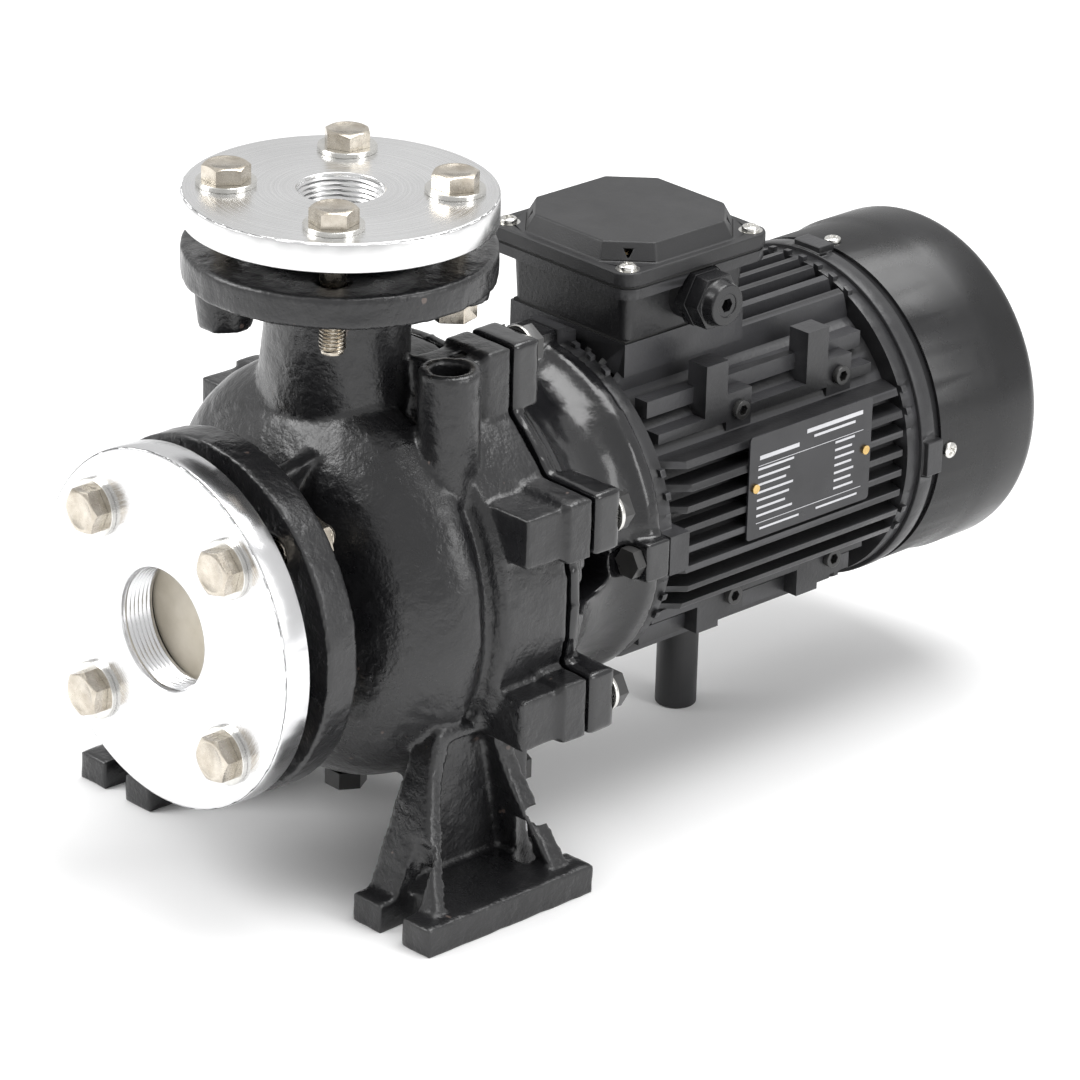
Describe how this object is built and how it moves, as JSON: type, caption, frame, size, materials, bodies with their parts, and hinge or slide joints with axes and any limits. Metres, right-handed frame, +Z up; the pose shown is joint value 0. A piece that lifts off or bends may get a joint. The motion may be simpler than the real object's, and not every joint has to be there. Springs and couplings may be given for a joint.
{
  "type": "centrifugal water pump",
  "caption": "Close-coupled end-suction water pump: flanged volute casing on feet, lantern bracket, finned motor with terminal box and fan cover, free-turning rotor.",
  "frame": {"origin": "on the plane of the feet, directly below the shaft axis and the centreline of the discharge port", "axes": "+Y along the shaft from the suction port to the fan cover, +X towards the cable gland, +Z up"},
  "size_m": [0.24, 0.4915, 0.3239],
  "materials": {
    "rough_cast_paint": "rough black paint over sand casting",
    "gloss_cast_paint": "glossy black paint",
    "gasket": "matt rubber sheet",
    "transit_card": "matt beige",
    "turned_steel": "bright turned face",
    "bright_zinc": "bright zinc plate",
    "warm_zinc": "warm nickel-coloured plate",
    "black_fastener": "black",
    "rubber": "matt",
    "cast_iron": "bare casting",
    "stainless": "machined",
    "seal_ceramic": "polished ceramic",
    "seal_carbon": "carbon graphite",
    "electrical_steel": "laminated steel",
    "fan_plastic": "matt black",
    "bearing_steel": "ground",
    "copper_winding": "enamelled copper wire",
    "motor_paint": "semi-gloss black paint on cast aluminium",
    "cover_paint": "satin black paint on sheet steel",
    "lid_paint": "fine matt black paint",
    "terminal_plastic": "moulded resin",
    "brass": "brass",
    "gland_plastic": "black nylon",
    "plate_dark": "dark printed plate with plain light bars",
    "leg_paint": "matt black paint"
  },
  "bodies": {
    "housing": {"volute_casing": "rough_cast_paint", "suction_gasket": "gasket", "suction_blanking_disc": "transit_card", "suction_counter_flange": "turned_steel", "discharge_gasket": "gasket", "discharge_counter_flange": "turned_steel", "flange_washers": "bright_zinc", "flange_bolts": "warm_zinc", "flange_nuts": "warm_zinc", "drain_plug": "black_fastener", "back_plate": "rough_cast_paint", "casing_o_ring": "rubber", "seal_seat": "seal_ceramic", "motor_bracket": "gloss_cast_paint", "casing_washers": "bright_zinc", "casing_bolts": "black_fastener", "motor_bolts": "black_fastener", "bearing_outer_rings": "bearing_steel", "stator_core": "electrical_steel", "stator_windings": "copper_winding", "motor_frame": "motor_paint", "end_shield": "motor_paint", "wave_spring": "stainless", "fan_cover": "cover_paint", "cover_screws": "bright_zinc", "pad_screws": "black_fastener", "box_gasket": "gasket", "terminal_box": "motor_paint", "lid_gasket": "gasket", "terminal_lid": "lid_paint", "lid_screws": "bright_zinc", "terminal_block": "terminal_plastic", "terminal_studs": "brass", "gland_body": "gland_plastic", "gland_nut": "gland_plastic", "gland_plug": "gland_plastic", "nameplate": "plate_dark", "nameplate_rivets": "brass", "support_leg": "leg_paint", "leg_screw": "stainless"},
    "rotor": {"impeller": "cast_iron", "impeller_key": "stainless", "impeller_washer": "stainless", "impeller_nut": "stainless", "seal_ring": "seal_carbon", "seal_spring": "stainless", "seal_bellows": "rubber", "shaft": "stainless", "slinger": "rubber", "rotor_core": "electrical_steel", "cooling_fan": "fan_plastic", "fan_key": "stainless", "fan_circlip": "stainless", "bearing_inner_rings": "bearing_steel"},
    "front_ball_set": {"front_balls": "bearing_steel", "front_cage": "bearing_steel"},
    "rear_ball_set": {"rear_balls": "bearing_steel", "rear_cage": "bearing_steel"}
  },
  "joints": [
    {"name": "rotor_spin", "type": "hinge", "parent": "housing", "child": "rotor", "pos_m": [0, 0.1, 0.132], "axis": [0, 1, 0], "continuous": true},
    {"name": "front_ball_spin", "type": "hinge", "parent": "housing", "child": "front_ball_set", "pos_m": [0, 0.1115, 0.132], "axis": [0, 1, 0], "continuous": true},
    {"name": "rear_ball_spin", "type": "hinge", "parent": "housing", "child": "rear_ball_set", "pos_m": [0, 0.3005, 0.132], "axis": [0, 1, 0], "continuous": true}
  ],
  "couplings": [
    {"joint": "front_ball_spin", "follows": "rotor_spin", "ratio": 0.3969},
    {"joint": "rear_ball_spin", "follows": "rotor_spin", "ratio": 0.3969}
  ]
}
